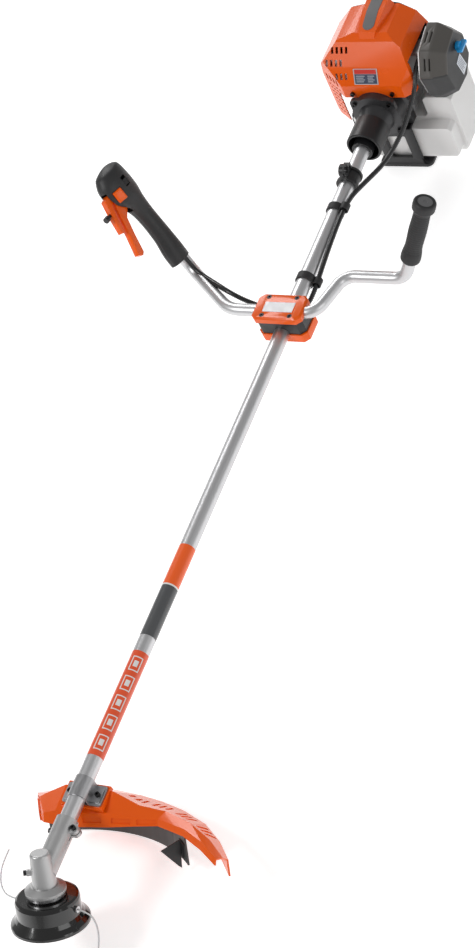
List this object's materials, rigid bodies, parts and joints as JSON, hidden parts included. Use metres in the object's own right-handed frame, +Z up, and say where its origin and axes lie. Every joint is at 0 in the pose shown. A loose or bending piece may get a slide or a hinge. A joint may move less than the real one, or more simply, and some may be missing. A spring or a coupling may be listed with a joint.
{
  "type": "string trimmer",
  "caption": "Petrol string trimmer: straight aluminium shaft, bike handlebar with throttle grip, bump-feed line head under a skirted guard, two-stroke engine on a stand.",
  "frame": {"origin": "middle of the bounding box of the machine without its two cutting lines, on the surface it stands on", "axes": "+X along the shaft tube from the cutting head to the engine, +Y to the user's right, +Z up"},
  "size_m": [1.921, 0.6283, 0.4073],
  "materials": {
    "cast_aluminium": "cast, satin",
    "tube_aluminium": "drawn, satin",
    "steel": "machined",
    "zinc_plate": "zinc plated sheet",
    "screw_steel": "socket screws",
    "black_plastic": "moulded, satin",
    "head_black": "moulded, glossy",
    "skirt_grey": "moulded, dull",
    "orange_plastic": "moulded, glossy",
    "housing_grey": "painted die casting",
    "filter_grey": "moulded, fine grain",
    "grip_rubber": "moulded rubber",
    "case_plastic": "fine texture",
    "tank_white": "translucent polyethylene",
    "blue_plastic": "moulded",
    "line_nylon": "extruded nylon",
    "foam": "open foam",
    "bronze": "sintered"
  },
  "bodies": {
    "frame": {"gearbox_housing": "cast_aluminium", "ball_bearings": "steel", "guard_shell": "orange_plastic", "guard_skirt": "skirt_grey", "line_cutter": "steel", "guard_bracket": "zinc_plate", "guard_saddle": "zinc_plate", "shaft_tube": "tube_aluminium", "shaft_bushes": "bronze", "harness_hanger": "black_plastic", "handlebar": "black_plastic", "clamp_cap": "orange_plastic", "clamp_block": "black_plastic", "clamp_base": "orange_plastic", "plain_grip": "grip_rubber", "throttle_case_front": "case_plastic", "throttle_case_rear": "case_plastic", "throttle_conduit": "black_plastic", "conduit_clips": "grip_rubber", "vibration_collar": "black_plastic", "clutch_housing": "housing_grey", "crankcase": "cast_aluminium", "cylinder_block": "cast_aluminium", "piston_and_rod": "cast_aluminium", "spark_plug": "black_plastic", "muffler": "steel", "carburettor": "cast_aluminium", "starter_housing": "black_plastic", "starter_grip": "black_plastic", "engine_cover": "orange_plastic", "filter_cover": "filter_grey", "filter_element": "foam", "fuel_tank": "tank_white", "tank_stand": "black_plastic", "m5_screws": "screw_steel"},
    "drive_line": {"pinion_gear": "steel", "drive_shaft": "steel", "clutch_drum": "steel"},
    "cutting_head": {"output_spindle": "steel", "bevel_gear": "steel", "drive_flange": "steel", "head_housing": "head_black", "head_cover": "head_black", "line_eyelets": "steel", "spool_spring": "steel", "cutting_line_a": "line_nylon", "cutting_line_b": "line_nylon"},
    "bump_spool": {"line_spool": "black_plastic", "bump_knob": "head_black"},
    "crank": {"crankshaft": "steel", "flywheel": "cast_aluminium", "clutch_shoes": "steel"},
    "reel": {"starter_reel": "black_plastic"},
    "trigger": {"throttle_trigger": "orange_plastic"},
    "lockout": {"trigger_lockout": "black_plastic"},
    "lock_pin": {"lock_button": "black_plastic"},
    "stop_slider": {"stop_switch": "orange_plastic"},
    "primer": {"primer_bulb": "blue_plastic"},
    "knob": {"filter_knob": "blue_plastic"},
    "tank_cap": {"fuel_cap": "black_plastic"}
  },
  "joints": [
    {"name": "head_spin", "type": "hinge", "parent": "frame", "child": "cutting_head", "pos_m": [-0.84015, -0.014, 0.15593], "axis": [0.5, 0, 0.866], "continuous": true},
    {"name": "shaft_spin", "type": "hinge", "parent": "frame", "child": "drive_line", "pos_m": [-0.74215, -0.014, 0.15593], "axis": [1, 0, 0], "continuous": true},
    {"name": "bump_feed", "type": "slide", "parent": "cutting_head", "child": "bump_spool", "axis": [0.5, 0, 0.866], "range_m": [0, 0.006], "stiffness_N_per_m": 900, "springref_m": -0.003, "deforming": ["spool_spring"]},
    {"name": "crank_spin", "type": "hinge", "parent": "frame", "child": "crank", "pos_m": [0.85035, -0.014, 0.15593], "axis": [1, 0, 0], "continuous": true},
    {"name": "reel_spin", "type": "hinge", "parent": "frame", "child": "reel", "pos_m": [0.90885, -0.014, 0.15593], "axis": [1, 0, 0], "range_deg": [0, 1337], "stiffness_Nm_per_rad": 0.004},
    {"name": "throttle_squeeze", "type": "hinge", "parent": "frame", "child": "trigger", "pos_m": [0.34746, 0.2763, 0.35728], "axis": [0, -0.8997, 0.4366], "range_deg": [0, 18], "stiffness_Nm_per_rad": 0.6, "springref_deg": -11.46},
    {"name": "lockout_press", "type": "hinge", "parent": "frame", "child": "lockout", "pos_m": [0.34689, 0.28392, 0.37299], "axis": [0, -0.8997, 0.4366], "range_deg": [0, 4], "stiffness_Nm_per_rad": 0.6, "springref_deg": -11.46},
    {"name": "lock_pin_push", "type": "slide", "parent": "lockout", "child": "lock_pin", "axis": [0.9804, -0.086, -0.1772], "range_m": [0, 0.004], "stiffness_N_per_m": 150, "springref_m": -0.001},
    {"name": "stop_slide", "type": "slide", "parent": "frame", "child": "stop_slider", "axis": [-0.197, -0.428, -0.882], "range_m": [0, 0.005]},
    {"name": "primer_press", "type": "slide", "parent": "frame", "child": "primer", "axis": [0, 0, 1], "range_m": [0, 0.005], "stiffness_N_per_m": 300, "springref_m": -0.001},
    {"name": "knob_turn", "type": "hinge", "parent": "frame", "child": "knob", "pos_m": [0.86385, -0.16, 0.22994], "axis": [0, 1, 0], "range_deg": [0, 90]},
    {"name": "cap_turn", "type": "hinge", "parent": "frame", "child": "tank_cap", "pos_m": [0.85785, 0.083, 0.05994], "axis": [0, 1, 0], "range_deg": [0, 360]}
  ],
  "couplings": [
    {"joint": "shaft_spin", "follows": "head_spin", "ratio": -1.4}
  ]
}
